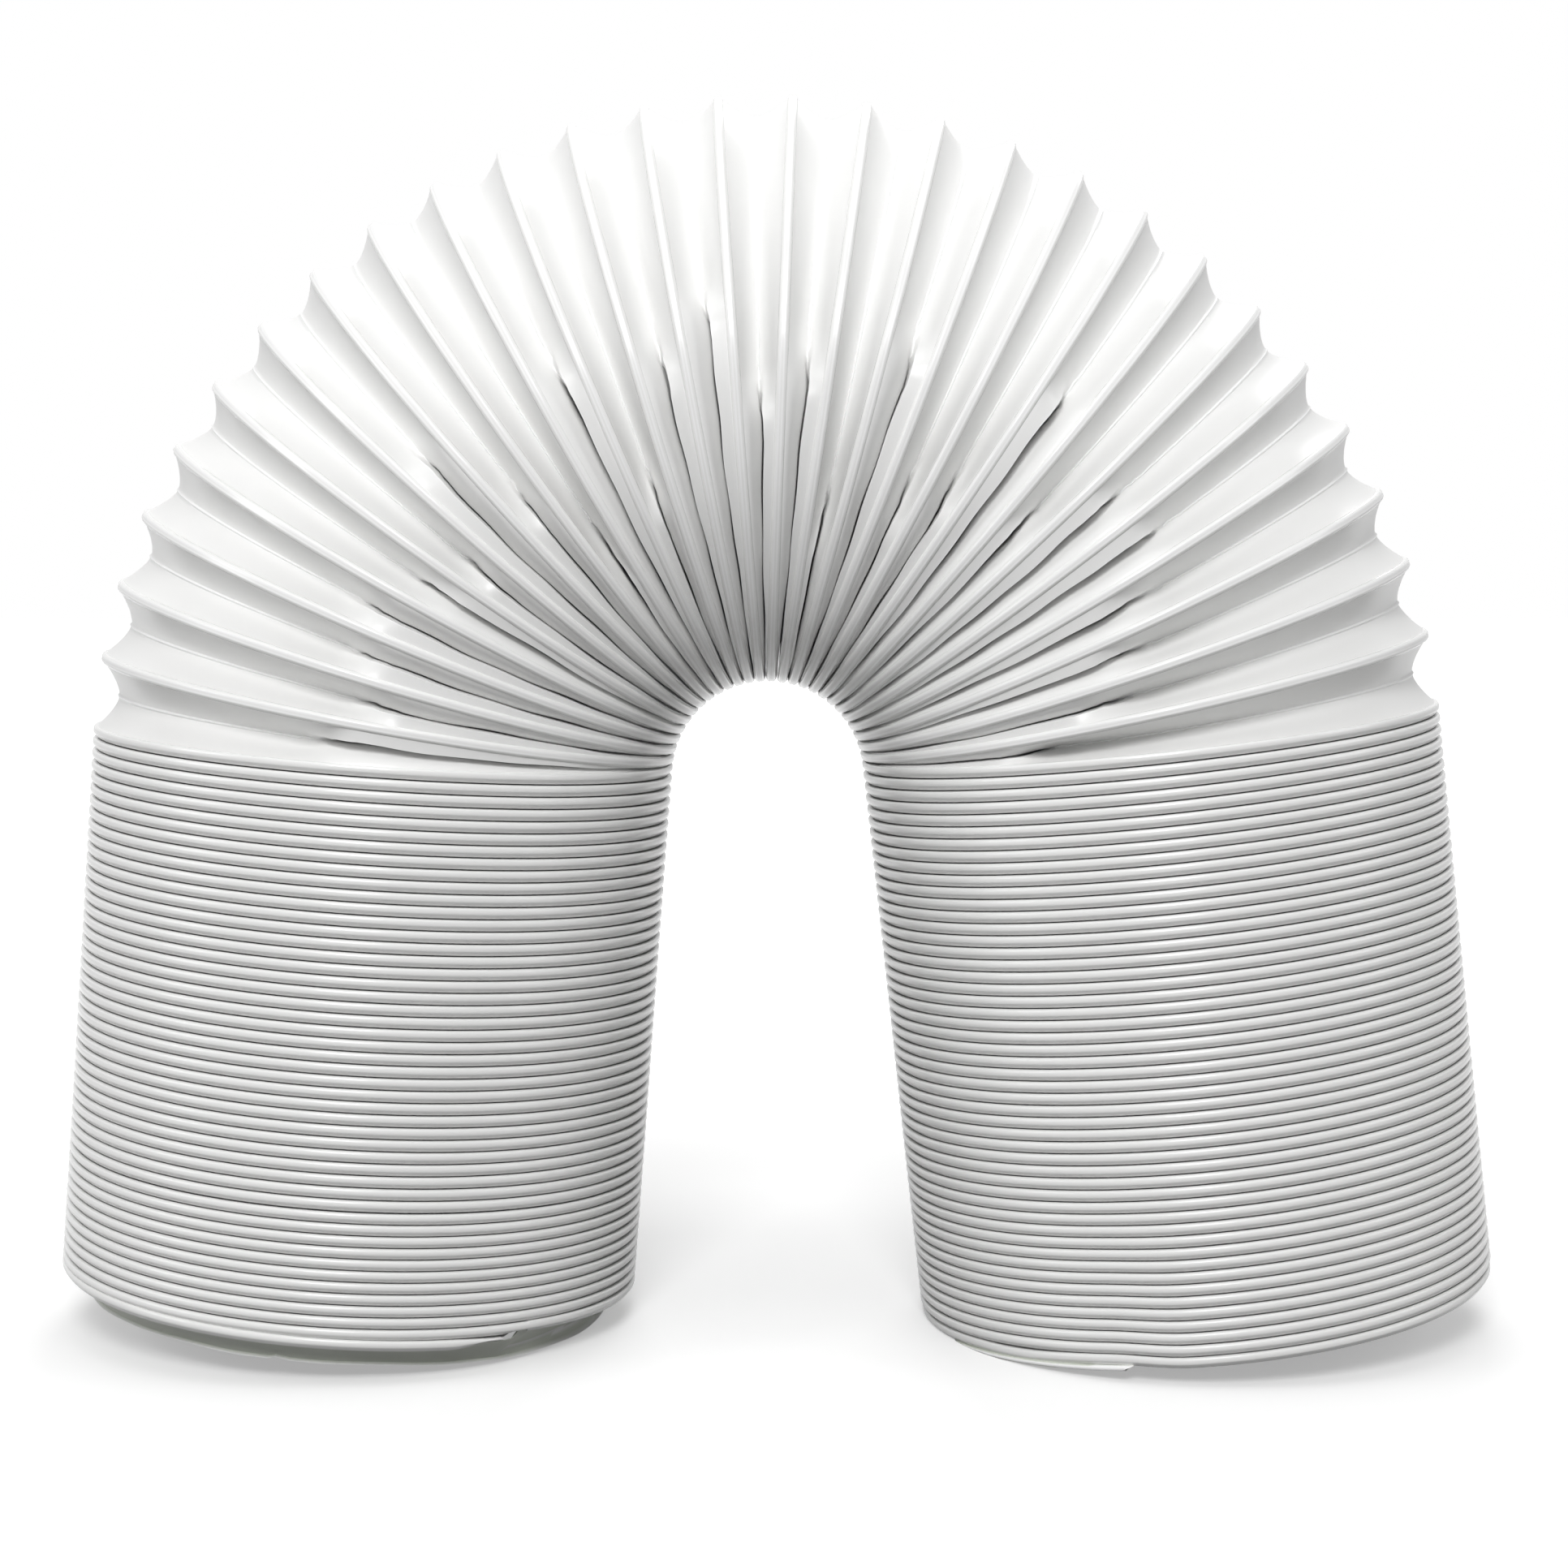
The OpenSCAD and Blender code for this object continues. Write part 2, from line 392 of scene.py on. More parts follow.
# How far the gloss drifts to either side of a material's roughness
GLOSS_DRIFT = 0.03
POLYPROPYLENE_IOR = 1.49


def add_node(tree, kind, settings=None, links=None):
    """Adds a node with its settings, input values and links from other nodes' outputs.

    An input goes by its name, or by its number where names repeat."""
    node = tree.nodes.new(kind)
    for key, value in (settings or {}).items():
        if isinstance(key, str) and key in node.bl_rna.properties:
            setattr(node, key, value)
        else:
            node.inputs[key].default_value = value
    for key, source in (links or {}).items():
        tree.links.new(source, node.inputs[key])
    return node


def white_plastic(name, colour, roughness, grain, grain_depth):
    """White polypropylene: a satin skin whose colour drifts a little, with a fine grain under the gloss.

    The grain's width and depth are in millimetres."""
    found = bpy.data.materials.get(name)
    if found:
        return found
    material = bpy.data.materials.new(name)
    material.use_nodes = True
    tree = material.node_tree
    shader = tree.nodes["Principled BSDF"]
    place = add_node(tree, "ShaderNodeTexCoord").outputs["Object"]
    patches = add_node(tree, "ShaderNodeTexNoise", {"Scale": 1 / PATCH_WIDTH, "Detail": 2.0},
                       {"Vector": place})
    drift = add_node(tree, "ShaderNodeMapRange", {"To Min": 0.96, "To Max": 1.0},
                     {"Value": patches.outputs["Fac"]})
    base = add_node(tree, "ShaderNodeMix",
                    {"data_type": "RGBA", "blend_type": "MULTIPLY", MIX_FACTOR: 1, MIX_A: (*colour, 1)},
                    {MIX_B: drift.outputs["Result"]})
    # Fold lines are stretched, which whitens polypropylene. The whiter colour is also a painted highlight on
    # fold lines, on the edge on top of a shut fold, on bead ridges, on the lip's torn edge and its crease,
    # and on the right strip's outer edge.
    amount = add_node(tree, "ShaderNodeAttribute", {"attribute_name": "whitening_and_painted_highlight"}).outputs["Fac"]
    line = add_node(tree, "ShaderNodeMix", {"data_type": "RGBA", MIX_B: (*colours().whitening_and_painted_highlight, 1)},
                    {MIX_FACTOR: amount, MIX_A: base.outputs[MIX_RESULT]})
    tree.links.new(line.outputs[MIX_RESULT], shader.inputs["Base Color"])
    # Rolls leave a fine grain; it is drawn as coarse as it needs to show
    skin = add_node(tree, "ShaderNodeTexNoise", {"Scale": 1 / (grain * MM), "Detail": 3.0}, {"Vector": place})
    gloss = add_node(tree, "ShaderNodeMapRange",
                     {"To Min": roughness - GLOSS_DRIFT, "To Max": roughness + GLOSS_DRIFT},
                     {"Value": skin.outputs["Fac"]})
    tree.links.new(gloss.outputs["Result"], shader.inputs["Roughness"])
    bump = add_node(tree, "ShaderNodeBump", {"Strength": 0.3, "Distance": grain_depth * MM},
                    {"Height": skin.outputs["Fac"]})
    tree.links.new(bump.outputs["Normal"], shader.inputs["Normal"])
    shader.inputs["IOR"].default_value = POLYPROPYLENE_IOR
    return material


def bead_material():
    """Polypropylene, extruded and rolled while warm: a closed, glossy skin that holds a soft highlight."""
    return white_plastic("extruded white polypropylene bead", colours().bead,
                         roughness=0.22, grain=1.1, grain_depth=0.004)


def web_material():
    """Polypropylene film, drawn thin: softer gloss, and whiter along its fold line, which stretches it; the
    whiter line is also a painted highlight.
    """
    return white_plastic("drawn white polypropylene film", colours().web,
                         roughness=0.36, grain=3.0, grain_depth=0.02)


def cut_edge_material():
    """Polypropylene, cut with a knife and torn along: matt, and coloured a little darker and greener than the
    beads.
    """
    return white_plastic("knife-cut white polypropylene", colours().cut_edge,
                         roughness=0.5, grain=0.8, grain_depth=0.05)


# ---- The arch; a profile is a list of (radius, height) in metres ----

# Side of an arch bead, from a ridge of its crest: (millimetres in from the crest, share of half its height)
ARCH_BEAD_SIDE = ((0, 0.30), (0.08, 0.52), (0.34, 0.76), (0.78, 0.93), (1.35, 1))
# Its root, as a share of its height, and its flat back: depth behind the root, and half its height
ARCH_BEAD_ROOT = 0.44
ARCH_BEAD_BACK, ARCH_BEAD_FLAT = 0.15 * MM, 0.7 * MM
# A ridge is painted white down to this depth, as a painted highlight
RIDGE_HIGHLIGHT_DEPTH = 0.02 * MM


def bead_profile():
    """Closed section of one bead of the arch."""
    s = sizes()
    crest, root = CREST_RADIUS * MM, root_radius()
    side = [(crest - inwards * MM, half_bead() * along) for inwards, along in ARCH_BEAD_SIDE]
    side.append((root, (s.closed_pitch - s.bead_gap) * ARCH_BEAD_ROOT))
    back = root - ARCH_BEAD_BACK
    return ([(r, -z) for r, z in reversed(side)] + [(crest - s.crest_groove, 0)] + side
            + [(back, ARCH_BEAD_FLAT), (back, -ARCH_BEAD_FLAT)])


def paint_ridge_highlights(piece):
    """Paints a highlight on the two ridges of a bead's crest, as whiter colour."""
    co = vertices_of(piece)
    point_value(piece, "whitening_and_painted_highlight", np.hypot(co[:, 0], co[:, 1]) > CREST_RADIUS * MM - RIDGE_HIGHLIGHT_DEPTH)


class DUCT_OT_arch_beads(bpy.types.Operator):
    """Models one bead of the open arch and puts a copy on every bead's place"""

    bl_idname = "duct.arch_beads"
    bl_label = "Arch beads"

    def execute(self, context):
        bead = ring_piece("bead", sizes().sides, bead_profile())
        smoothed(bead)
        paint_ridge_highlights(bead)
        for k in range(1, FOLDS):
            node = f"arch_hoop_{k:02d}"
            piece = copied(bead, f"arch_bead_{k:02d}", arch_place(k))
            finished(piece, bead_material(), node)
            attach(piece, fold_bodies(f"arch_fold_{k:02d}")[1])
        bpy.data.objects.remove(bead)
        return {"FINISHED"}


# How far round from the inside of the arch each fold has snapped shut, in degrees: on its front,
# and between these two at its back
FRONT_SNAPS = (95, 88, 92, 95, 86, 80, 103, 83, 65, 101, 72, 97, 106, 87,
               94, 64, 101, 73, 79, 106, 83, 98, 100, 90, 84, 78, 60)
BACK_SNAPS = (62, 106)
# Places across a web, from its bead to its fold line; where a fold is shut, its web turns in at the edge
EDGE = 0.76
ACROSS = np.array([0, 0.07, 0.17, 0.3, 0.44, 0.57, 0.68, EDGE, 0.80, 0.87, 0.94, 1])
# Where a web's outer face starts, in millimetres: in from the crest, and off the bead's middle
WEB_START_IN, WEB_START_OFF = 0.75, 1.0
# Millimetres between crest and bore that aren't web: from the crest to its root, and under its fold line
WEB_ROOT_IN, WEB_FOLD_OUT = 2.0, 0.45
# Least depth of an open fold, and how much deeper it hangs than its flat webs would, in millimetres
LEAST_DEPTH, SAG = 2, 0.7
# How hard a web bends away from its bead where its fold is open, and where it is shut: the web on top, and
# the one that rolls down under it
BEND = 1.6
SHUT_BEND = (1.3, 1.7)
# How deep the edges of those two webs lie, and how far the slit between them wanders, as shares of half the
# fold's width
EDGE_DEPTH, WANDER = (0.04, 1.25), 0.22
# Half the width of the slit at its bottom, in millimetres, and how fast the webs plunge to it
SLIT_END, PLUNGE = 0.1, 0.8
# How white the edge on top is painted, as a painted highlight
EDGE_HIGHLIGHT = 0.9
# How far round the small crumples reach
CRUMPLE_REACH = math.radians(9)


def fold_surface(k, angle, ring):
    """Outer face of fold k in millimetres, and how white it is painted: its fold line is whiter as stress
    whitening and as a painted highlight, and the edge on top gets a painted highlight.

    The angle runs round the duct from the inside of the arch, and the ring runs across both webs."""
    s = sizes()
    rng = np.random.default_rng(100 + k)
    last = len(ACROSS) - 1
    side = np.where(ring < last, -1.0, 1.0)
    u = ACROSS[np.where(ring < last, ring, 2 * last - ring)]
    start_r = CREST_RADIUS - WEB_START_IN
    web_width = math.hypot(CREST_RADIUS - WEB_ROOT_IN - BORE_RADIUS - WEB_FOLD_OUT, s.closed_pitch / MM / 2)

    reach = ARCH_RADIUS - start_r * np.cos(angle)
    half = reach * math.sin(FOLD_ANGLE / 2) - WEB_START_OFF
    depth = np.sqrt(np.maximum(web_width ** 2 - (half + WEB_START_OFF) ** 2, LEAST_DEPTH ** 2)) + SAG

    # An open fold hangs between its beads like cloth, with a fine ridge along its line
    open_across = half * (1 - u)
    open_depth = depth * (1 - (1 - u) ** BEND) - s.fold_ridge / MM * (u == 1)

    # A fold that has snapped shut is flat beside its beads and plunges into a slit
    front = angle < 0
    snap = np.radians(np.where(front, FRONT_SNAPS[k - 1], rng.uniform(*BACK_SNAPS)))
    width = math.radians(rng.uniform(5, 9))
    round_at = np.abs(angle)
    shut = smoothstep((snap + width - round_at) / (2 * width))
    # The slit is a little wider behind the place where it starts, and narrower and wider further on
    lens = rng.uniform(0, 0.3) * np.exp(
        -((round_at - snap + width * 0.6) / math.radians(rng.uniform(4, 8))) ** 2)
    pinch = 0.65 + 0.35 * np.sin(angle * rng.uniform(9, 14) + rng.uniform(0, 6))
    slit = np.minimum(s.slit / MM / 2 * pinch + lens, half * 0.5)
    v = np.minimum(u / EDGE, 1)
    plunge = np.clip((u - EDGE) / (1 - EDGE), 0, 1)
    # One web ends in a sharp edge, and the other rolls down under it
    over = rng.choice([-1.0, 1.0])
    on_top = side == over
    edge_depth = np.where(on_top, *EDGE_DEPTH) * half
    shut_across = half + (slit - half) * v - (slit - SLIT_END) * plunge ** PLUNGE
    shut_depth = edge_depth * v ** np.where(on_top, *SHUT_BEND) + (depth - edge_depth) * plunge
    # The open fold line is whiter, as stress whitening and as a painted highlight; where the fold is shut,
    # the edge on top gets a painted highlight instead
    white = (u == 1) * (1 - shut) + (on_top & (u == EDGE)) * shut * EDGE_HIGHLIGHT
    # The slit wanders from side to side
    drift = half * WANDER * over * shut * (
        0.6 + 0.25 * np.sin(angle * rng.uniform(6, 9) + rng.uniform(0, 6))
        + 0.15 * np.sin(angle * rng.uniform(17, 25) + rng.uniform(0, 6)))

    across = side * (open_across * (1 - shut) + shut_across * shut) + drift * v
    down = open_depth * (1 - shut) + shut_depth * shut
    # The film wanders in and out a little
    waves = sum(np.sin(angle * rng.uniform(3, 16) + side * rng.uniform(0, 3) + rng.uniform(0, 6))
                for _ in range(4)) / 4
    down = down + waves * s.ripple / MM * 4 * u * (1 - u)

    # Small crumples stand where a fold is about to snap
    near = np.exp(-((round_at - snap) / CRUMPLE_REACH) ** 2)
    crumple = np.sin(angle * rng.uniform(50, 75) + rng.uniform(0, 6)) * np.sin(angle * rng.uniform(21, 33))
    down = down + crumple * near * s.crumple / MM * u ** 3
    across = across + crumple * near * s.crumple / MM * 0.8 * u ** 3

    radius = start_r - down
    reach = ARCH_RADIUS - radius * np.cos(angle)
    surface = np.stack([
        ARCH_RADIUS - np.sqrt(reach ** 2 - across ** 2), radius * np.sin(angle), across], axis=1)
    return surface, white


class DUCT_OT_arch_webs(bpy.types.Operator):
    """Models the two webs of every fold of the open arch"""

    bl_idname = "duct.arch_webs"
    bl_label = "Arch webs"

    def execute(self, context):
        s = sizes()
        rings = 2 * len(ACROSS) - 1
        tube = new_circle("fold", s.sides, CREST_RADIUS * MM, 0)
        drawn_along([(CREST_RADIUS * MM, i * MM) for i in range(rings)])
        bpy.ops.mesh.select_all(action="SELECT")
        bpy.ops.mesh.normals_make_consistent(inside=False)
        bpy.ops.object.mode_set(mode="OBJECT")
        straight = vertices_of(tube)
        angle = np.arctan2(straight[:, 1], straight[:, 0])
        ring = np.rint(straight[:, 2] / MM).astype(int)
        for k in range(1, FOLDS + 1):
            piece = copied(tube, f"arch_film_{k:02d}", Matrix.Identity(4))
            surface, white = fold_surface(k, angle, ring)
            set_vertices(piece, surface * MM)
            # Whiter colour along fold lines and edges on top: stress whitening and painted highlights
            point_value(piece, "whitening_and_painted_highlight", white)
            middle = arch_place(k - 0.5)
            piece.data.transform(middle)
            applied(piece, "SOLIDIFY", thickness=s.film, offset=-1, use_even_offset=False)
            smoothed(piece)
            finished(piece, web_material(), f"arch_web_{k - 1 + k % 2:02d}")
            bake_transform(piece)
        bpy.data.objects.remove(tube)
        return {"FINISHED"}


# ---- The legs ----

# Distance of a shut web's outer start from its bead's middle, thickness at its fold line, and half the flat
# inside that line
WEB_START, FOLD_WALL, FOLD_FLAT = 0.65 * MM, 0.9 * MM, 0.2 * MM
# Thickness of the strip behind a shut bead's root, and half the height of the bead's back
STRIP_WALL, SHUT_BEAD_BACK = 1 * MM, 0.9 * MM
# Radius outside which a vertex belongs to a bead's crest, and how far outside the root a bead's side starts
CREST_FROM, BARE_FROM = (CREST_RADIUS - 1) * MM, 0.2 * MM
# A fold that can open: how far inside the root it starts, and how far its outer and its inner start lie from
# the middle of its bead
LEG_FOLD_IN, LEG_FOLD_OUTER, LEG_FOLD_INNER = 0.3 * MM, 0.6 * MM, 0.1 * MM
# Outer side of a bead of the shut bellows from its crest: (share of its depth, share of half its height).
# The side towards the arch is a broad band with a round edge, and the side towards the foot is a flank.
BAND = ((0, 0), (0, 0.3), (0.06, 0.68), (0.2, 0.86), (0.5, 0.96), (1, 1))
FLANK = ((0, 0), (0.04, 0.16), (0.14, 0.3), (0.3, 0.45), (0.64, 0.84), (0.78, 0.95), (1, 1))


def shut_bead_side(shares, way):
    """One side of a shut bead, from its crest to its edge: way -1 is towards the arch, and 1 the foot."""
    depth, half = sizes().tube_depth, half_bead()
    return [(CREST_RADIUS * MM - depth * inwards, way * half * along) for inwards, along in shares]


def shut_bead_profile():
    """Closed section of one shut bead."""
    root = root_radius()
    return (list(reversed(shut_bead_side(BAND, -1))) + shut_bead_side(FLANK, 1)[1:]
            + [(root, SHUT_BEAD_BACK), (root, -SHUT_BEAD_BACK)])


def web_of_turn():
    """Outer side of the two webs of a shut fold, from the bead above it to the bead below."""
    pitch, root = sizes().closed_pitch, root_radius()
    return [(root, WEB_START), (BORE_RADIUS * MM + FOLD_WALL, pitch / 2), (root, pitch - WEB_START)]


def turn_outside():
    """Outer side of one turn, from the crest of a bead to the crest of the next."""
    pitch = sizes().closed_pitch
    next_band = [(r, pitch + z) for r, z in reversed(shut_bead_side(BAND, -1))]
    return shut_bead_side(FLANK, 1) + web_of_turn() + next_band


def turn_inside():
    """Inner side of one turn, from the middle of a bead to the middle of the next."""
    pitch = sizes().closed_pitch
    root = root_radius() - STRIP_WALL
    bore = BORE_RADIUS * MM
    return [(root, 0), (bore, pitch / 2 - FOLD_FLAT), (bore, pitch / 2 + FOLD_FLAT), (root, pitch)]


def shut_bellows(name, beads, bare_end):
    """A run of shut bellows with closed ends. A bare end stops at the root of its last bead."""
    s = sizes()
    pitch = s.closed_pitch
    sides = s.leg_sides
    outside, inside = turn_outside(), turn_inside()
    piece = new_circle(name, sides, *outside[0])
    drawn_along(outside)
    more_circle(sides, *inside[0])
    drawn_along(inside)
    bpy.ops.object.mode_set(mode="OBJECT")
    applied(piece, "ARRAY", count=beads - 1, use_relative_offset=False, use_constant_offset=True,
            constant_offset_displace=(0, 0, pitch), use_merge_vertices=True, merge_threshold=SAME_POINT)
    bpy.ops.object.mode_set(mode="EDIT")
    root = root_radius()
    end = (beads - 1) * pitch
    # The top bead is whole: its other side is drawn on, down to the root
    edges_on(piece, lambda co: abs(co.z) < ON_PLANE and co.xy.length > CREST_FROM)
    drawn_along(shut_bead_side(BAND, -1) + [(root, -WEB_START)])
    edges_on(piece, lambda co: co.z < ON_PLANE)
    bpy.ops.mesh.bridge_edge_loops()
    if bare_end:
        # The last bead's outer side goes, because that bead is a piece of its own
        bead_top, bead_foot = end - half_bead() - ON_PLANE, root + BARE_FROM
        bpy.ops.object.mode_set(mode="OBJECT")
        for vertex in piece.data.vertices:
            vertex.select = vertex.co.z > bead_top and vertex.co.xy.length > bead_foot
        bpy.ops.object.mode_set(mode="EDIT")
        bpy.ops.mesh.select_mode(type="VERT")
        bpy.ops.mesh.delete(type="VERT")
    else:
        edges_on(piece, lambda co: abs(co.z - end) < ON_PLANE and co.xy.length > CREST_FROM)
        drawn_along([(r, end + z) for r, z in shut_bead_side(FLANK, 1)] + [(root, end + WEB_START)])
    # The rims of its outer and its inner side are joined
    edges_on(piece, lambda co: co.z > end - 1 * MM)
    bpy.ops.mesh.bridge_edge_loops()
    bpy.ops.mesh.select_all(action="SELECT")
    bpy.ops.mesh.normals_make_consistent(inside=False)
    smoothed(piece)
    return piece


# The strip's cut end on each foot, in degrees from the front towards the arch's inside; in a leg's frame the
# front of the left leg is at 90 degrees and that of the right leg at -90
LEFT_CUT, RIGHT_CUT = 40, 21.5
LEFT_FRONT, RIGHT_FRONT = 90, -90
# Degrees of the left foot's last bead that are cut away, and of strip below the right foot's last bead
LEFT_CUT_OPEN = 6
RIGHT_STRIP_ANGLE = 130
# How much the last section of the left leg is pressed together, above the half web of its foot, and the
# share by which its last fold is pressed a full turn back from the strip's cut end
LEFT_PRESSED = 1.55 * MM
LAST_FOLD_TUCK = 0.95
# The right foot's strip goes round once more than in the solids, and its turns are pressed up where its end
# lies below them: fully over the strip's end, and less and less in the degrees after it
RIGHT_MORE_TURNS = 1
RIGHT_PRESSED = 1.3 * MM
RIGHT_PRESS_FADE = 200


def since_left_cut(co):
    """Degrees wound back along the strip from its cut end on the left foot."""
    return (degrees_round(co) - (LEFT_FRONT - LEFT_CUT)) % 360


def tucked_up(piece, beads):
    """Presses the left leg's last section together, its last fold the more, the further the strip is from
    its cut end."""
    pitch = sizes().closed_pitch
    co = vertices_of(piece)
    fold_top = (beads - 1) * pitch - pitch + WEB_START
    below = np.maximum(co[:, 2] - fold_top, 0)
    co[:, 2] -= below * LAST_FOLD_TUCK * since_left_cut(co) / 360
    co[:, 2] *= 1 - LEFT_PRESSED / ((beads - 1) * pitch)
    set_vertices(piece, co)


def along_right_strip(co):
    """Degrees along the strip from its cut end on the right foot, negative in the 15 degrees before it."""
    return (degrees_round(co) - (RIGHT_CUT + RIGHT_FRONT) + 15) % 360 - 15


def pressed_up(co, share):
    """Presses the turns of the right foot up over the strip's end, by a share from 0 to 1."""
    along = along_right_strip(co)
    # Full from 4 degrees after the strip's end to where the strip has gone up behind the last bead
    where = smoothstep((along + 12) / 16) * (1 - smoothstep((along - RIGHT_STRIP_ANGLE) / RIGHT_PRESS_FADE))
    co[:, 2] -= RIGHT_PRESSED * where * np.clip(share, 0, 1)


class DUCT_OT_leg_bellows(bpy.types.Operator):
    """Models the shut sections of both legs"""

    bl_idname = "duct.leg_bellows"
    bl_label = "Leg bellows"

    def execute(self, context):
        for side, counts in SECTION_BEADS.items():
            for section, beads in enumerate(counts, 1):
                node = f"{side}_bellows_{section}"
                if node == "right_bellows_4":
                    beads += RIGHT_MORE_TURNS
                piece = shut_bellows(f"{side}_turns_{section}", beads, section == len(counts))
                if node == "left_bellows_4":
                    tucked_up(piece, beads)
                if node == "right_bellows_4":
                    co = vertices_of(piece)
                    pressed_up(co, co[:, 2] / ((beads - 1) * sizes().closed_pitch))
                    set_vertices(piece, co)
                piece.data.transform(leg_place(side, first_bead(side, section)))
                if section == len(counts):
                    above_floor(piece)
                finished(piece, bead_material(), node)
                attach(piece, node)
        return {"FINISHED"}


class DUCT_OT_leg_folds(bpy.types.Operator):
    """Models the folds that can open between the sections of a leg"""

    bl_idname = "duct.leg_folds"
    bl_label = "Leg folds"

    def execute(self, context):
        s = sizes()
        pitch = s.closed_pitch
        root = root_radius() - LEG_FOLD_IN
        bore = BORE_RADIUS * MM
        fold = ring_piece("fold", s.leg_sides, [
            (root, LEG_FOLD_INNER), (root, LEG_FOLD_OUTER), (bore + FOLD_WALL, pitch / 2),
            (root, pitch - LEG_FOLD_OUTER), (root, pitch - LEG_FOLD_INNER), (bore, pitch / 2 + FOLD_FLAT),
            (bore, pitch / 2 - FOLD_FLAT)])
        smoothed(fold)
        for side, counts in SECTION_BEADS.items():
            for section in range(1, len(counts)):
                place = leg_place(side, first_bead(side, section + 1) - 1)
                piece = copied(fold, f"{side}_leg_film_{section}", place)
                finished(piece, web_material(), f"{side}_leg_fold_{section}")
                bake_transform(piece)
        bpy.data.objects.remove(fold)
        return {"FINISHED"}


# The half web, or lip, below the left foot's last bead: its width and slope, where it starts below the
# bead's middle and how far down it reaches, its thickness, how many millimetres in from the crest it starts,
# and how far it bows in
LIP_WIDTH, LIP_SLOPE = 8.2 * MM, math.radians(53)
LIP_START, LIP_HEIGHT = 0.15 * MM, LIP_WIDTH * math.cos(LIP_SLOPE) + LEFT_PRESSED
LIP_THICKNESS, LIP_TOP_IN, LIP_BOW = 0.5 * MM, 2, 0.35 * MM
LIP_STEPS = 10
# Its torn edge turns out a little and catches the light
LIP_FLARE = 1.1 * MM
# The edge's waves and its nick, in millimetres, and the nick's place, in degrees
LIP_WAVE, LIP_NICK, LIP_NICK_AT = 0.22, 0.7, 97
# Depth of its crease, and half the crease's painted highlight line, as a share of the lip's height
CREASE_DEPTH, CREASE_HIGHLIGHT_HALF = 2.4 * MM, 0.06
# How much of the strip's height is cut off at its tip on the left foot, over how many degrees, and how far
# the tip stands off the bead above
TIP_CUT, TIP_LENGTH, TIP_OFF = 0.93, 9, 0.35 * MM
# How much narrower the last bead of the left foot winds in one turn, as a share of its radius
WINDS_IN = 0.0008


def lip_profile():
    """Closed section of the half web that is left below the last bead of the left foot."""
    top_r = (CREST_RADIUS - LIP_TOP_IN) * MM
    outer, inner = [], []
    for step in range(LIP_STEPS + 1):
        share = step / LIP_STEPS
        r = top_r - LIP_WIDTH * math.sin(LIP_SLOPE) * share - LIP_BOW * math.sin(math.pi * share)
        if step == LIP_STEPS:
            r += LIP_FLARE
        z = LIP_START + LIP_HEIGHT * share
        outer.append((r + LIP_THICKNESS / 2, z))
        inner.append((r - LIP_THICKNESS / 2, z))
    return outer + list(reversed(inner))


class DUCT_OT_left_foot(bpy.types.Operator):
    """Models the last bead of the left foot, up to the strip's cut end, and the half web below it"""

    bl_idname = "duct.left_foot"
    bl_label = "Left foot"

    def execute(self, context):
        s = sizes()
        pitch = s.closed_pitch
        place = leg_place("left", sum(SECTION_BEADS["left"]) - 1) @ Matrix.Translation((0, 0, -LEFT_PRESSED))
        cut = LEFT_FRONT - LEFT_CUT
        bead = ring_piece("left_last_bead", s.sides, shut_bead_profile())
        opened(bead, cut - LEFT_CUT_OPEN / 2, cut + LEFT_CUT_OPEN / 2)
        co = vertices_of(bead)
        wound = since_left_cut(co)
        # The strip thins out to a tip, which stands off the bead above it
        tip = np.clip(1 - (wound - LEFT_CUT_OPEN / 2) / TIP_LENGTH, 0, 1)
        top = -half_bead()
        co[:, 2] = top + (co[:, 2] - top) * (1 - TIP_CUT * tip) + TIP_OFF * tip
        # From its cut end the strip climbs back by one pitch a turn, into the bead above
        co[:, 2] -= pitch * wound / 360
        co[:, :2] *= (1 - WINDS_IN * wound / 360)[:, None]
        set_vertices(bead, co)
        smoothed(bead)
        bead.data.transform(place)
        above_floor(bead)
        finished(bead, bead_material(), "left_end_bead")
        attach(bead, "left_bellows_4")

        lip = ring_piece("left_lip", s.sides, lip_profile())
        bpy.ops.object.mode_set(mode="OBJECT")
        co = vertices_of(lip)
        around = degrees_round(co)
        down = np.clip((co[:, 2] - LIP_START) / LIP_HEIGHT, 0, 1)
        # Past the cut the half web hangs from the bead above, one pitch higher: it gets there in 3 degrees at
        # its top and in 60 at its free edge
        past = 360 - since_left_cut(co)
        co[:, 2] -= pitch * (1 - past / 360) * smoothstep(past / (3 + 57 * down))
        # Its free edge was torn along, so it is a little wavy, with a nick near the front
        wave = 0.6 * np.sin(np.radians(around * 8)) + 0.4 * np.sin(np.radians(around * 17 + 60))
        nick = np.exp(-(around - LIP_NICK_AT) ** 2)
        co[:, 2] += down * (LIP_WAVE * wave - LIP_NICK * nick) * MM
        # Beside the cut it is creased from the strip's tip on, where the next turn's web was torn off. The
        # crease runs down a little, and fades out from 20 degrees on
        beside = smoothstep(past / 4) * (1 - smoothstep((past - 20) / 45))
        crease = 0.55 + 0.2 * np.clip(past / 40, 0, 1)
        dent = np.clip(1 - np.abs(down - crease) / np.where(down < crease, crease, 1 - crease), 0, 1)
        co[:, :2] *= (1 - CREASE_DEPTH * beside * dent / np.hypot(co[:, 0], co[:, 1]))[:, None]
        set_vertices(lip, co)
        # The crease and the lip's torn lower edge are painted whiter, as a painted highlight
        crease_highlight = beside * (np.abs(down - crease) < CREASE_HIGHLIGHT_HALF)
        point_value(lip, "whitening_and_painted_highlight", np.maximum(down > 0.97, crease_highlight))
        smoothed(lip)
        lip.data.transform(place)
        above_floor(lip)
        finished(lip, cut_edge_material(), "left_end_lip")
        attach(lip, "left_bellows_4")
        return {"FINISHED"}


